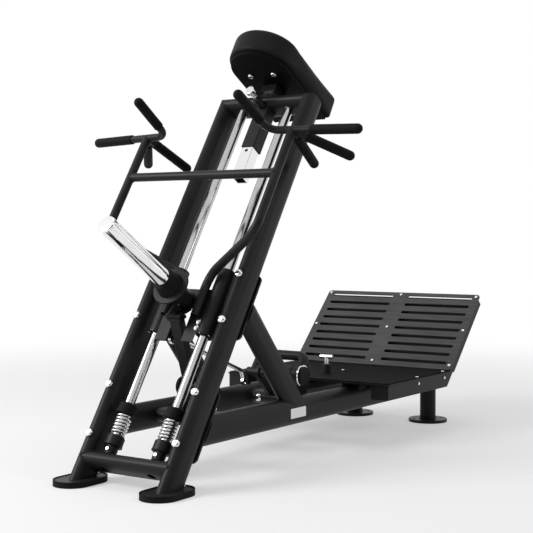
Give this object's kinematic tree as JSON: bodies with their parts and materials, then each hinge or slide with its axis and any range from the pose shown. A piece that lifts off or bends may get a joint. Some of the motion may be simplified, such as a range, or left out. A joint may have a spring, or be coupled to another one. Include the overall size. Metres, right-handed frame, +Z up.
{
  "type": "t bar row machine",
  "caption": "Plate-loaded chest-supported row machine: leaning twin-upright frame, weight horn carriage on two guide rods, multi-grip handles, tilted chest pad and sliding foot platform",
  "frame": {"origin": "on the floor, at the middle of the machine's length and width", "axes": "X across the machine (symmetry plane X=0 for the frame), +Y from the weight horn towards the foot platform, +Z up"},
  "size_m": [0.94, 1.6287, 1.264],
  "materials": {
    "black_frame_paint": "satin black powder coat",
    "textured_plate_paint": "fine-textured dark grey powder coat",
    "polished_chrome": "mirror chrome plating",
    "ground_rod_steel": "hard-chromed ground shaft",
    "bright_fasteners": "bright zinc and nickel fasteners",
    "spring_steel": "bright spring wire",
    "moulded_rubber": "matt moulded rubber",
    "black_plastic": "moulded black plastic",
    "pad_vinyl": "stitched black vinyl over foam",
    "painted_board": "black-painted plywood board"
  },
  "bodies": {
    "frame": {"upright_left": "black_frame_paint", "upright_right": "black_frame_paint", "top_cross_member": "black_frame_paint", "bottom_cross_tube": "black_frame_paint", "front_foot_plates": "black_frame_paint", "front_foot_shoes": "moulded_rubber", "base_beam_left": "black_frame_paint", "base_beam_right": "black_frame_paint", "base_cross_tubes": "black_frame_paint", "beam_end_caps": "black_plastic", "brace_left": "black_frame_paint", "brace_right": "black_frame_paint", "joint_plates": "black_frame_paint", "frame_bolts": "bright_fasteners", "frame_nuts": "bright_fasteners", "guide_rods": "ground_rod_steel", "rod_screws": "bright_fasteners", "rod_sockets": "black_frame_paint", "spring_seats": "black_frame_paint", "bumper_spring_left": "spring_steel", "bumper_spring_right": "spring_steel", "rear_legs": "black_frame_paint", "rear_foot_discs": "black_frame_paint", "adjuster_rail": "black_frame_paint", "pad_sleeve": "black_frame_paint", "mechanism_brackets": "black_frame_paint"},
    "carriage": {"bearing_housing_left": "black_frame_paint", "bearing_housing_right": "black_frame_paint", "linear_bearings": "spring_steel", "bearing_seals": "moulded_rubber", "carriage_plate": "black_frame_paint", "horn_root": "black_frame_paint", "horn_collar": "moulded_rubber", "weight_horn": "polished_chrome", "horn_end_cap": "polished_chrome", "handle_arm_left": "black_frame_paint", "handle_arm_right": "black_frame_paint", "arm_cross_tube": "black_frame_paint", "handle_bars": "black_frame_paint", "grips": "moulded_rubber"},
    "pad": {"pad_post": "polished_chrome", "pad_backboard": "painted_board", "chest_pad": "pad_vinyl", "pad_bolts": "bright_fasteners"},
    "pad_pin": {"pad_pull_pin": "bright_fasteners"},
    "platform": {"platform_deck": "black_frame_paint", "deck_mat": "moulded_rubber", "platform_rails": "black_frame_paint", "foot_plate": "textured_plate_paint", "foot_plate_pan": "black_frame_paint", "platform_screws": "bright_fasteners", "glide_pads": "black_plastic"},
    "pin_of_platform": {"platform_pin": "bright_fasteners"},
    "bumper_block_left": {"bumper_left": "moulded_rubber"},
    "bumper_block_right": {"bumper_right": "moulded_rubber"},
    "pedal": {"pedal_shaft": "black_frame_paint", "pedal_end_cap": "black_plastic", "pedal_bar": "black_frame_paint"},
    "prop": {"prop_arm": "black_frame_paint"},
    "link": {"release_link": "bright_fasteners"}
  },
  "joints": [
    {"name": "carriage_slide", "type": "slide", "parent": "frame", "child": "carriage", "axis": [0, 0.5417, 0.8406], "range_m": [0, 0.34]},
    {"name": "pad_slide", "type": "slide", "parent": "frame", "child": "pad", "axis": [0, 0.5417, 0.8406], "range_m": [0, 0.12]},
    {"name": "pad_pin_pull", "type": "slide", "parent": "frame", "child": "pad_pin", "axis": [0, -0.8406, 0.5417], "range_m": [-0.008, 0.004]},
    {"name": "platform_slide", "type": "slide", "parent": "frame", "child": "platform", "axis": [0, 1, 0], "range_m": [0, 0.12]},
    {"name": "platform_pin_pull", "type": "slide", "parent": "platform", "child": "pin_of_platform", "axis": [0, 0, 1], "range_m": [-0.012, 0.006]},
    {"name": "bumper_squash_left", "type": "slide", "parent": "frame", "child": "bumper_block_left", "axis": [0, 0.5417, 0.8406], "range_m": [-0.02, 0], "stiffness_N_per_m": 6000, "springref_m": 0.002, "deforming": ["bumper_spring_left"]},
    {"name": "bumper_squash_right", "type": "slide", "parent": "frame", "child": "bumper_block_right", "axis": [0, 0.5417, 0.8406], "range_m": [-0.02, 0], "stiffness_N_per_m": 6000, "springref_m": 0.002, "deforming": ["bumper_spring_right"]},
    {"name": "pedal_hinge", "type": "hinge", "parent": "frame", "child": "pedal", "pos_m": [0, -0.025, 0.231], "axis": [1, 0, 0], "range_deg": [0, 45], "stiffness_Nm_per_rad": 3, "springref_deg": -34.38},
    {"name": "prop_hinge", "type": "hinge", "parent": "frame", "child": "prop", "pos_m": [0, -0.443, 0.235], "axis": [1, 0, 0], "range_deg": [-10, 0]},
    {"name": "link_hinge", "type": "hinge", "parent": "prop", "child": "link", "pos_m": [-0.031, -0.484, 0.375], "axis": [1, 0, 0], "range_deg": [0, 10]}
  ],
  "couplings": [
    {"joint": "prop_hinge", "follows": "pedal_hinge", "ratio": -0.2133},
    {"joint": "link_hinge", "follows": "pedal_hinge", "ratio": 0.2072}
  ]
}
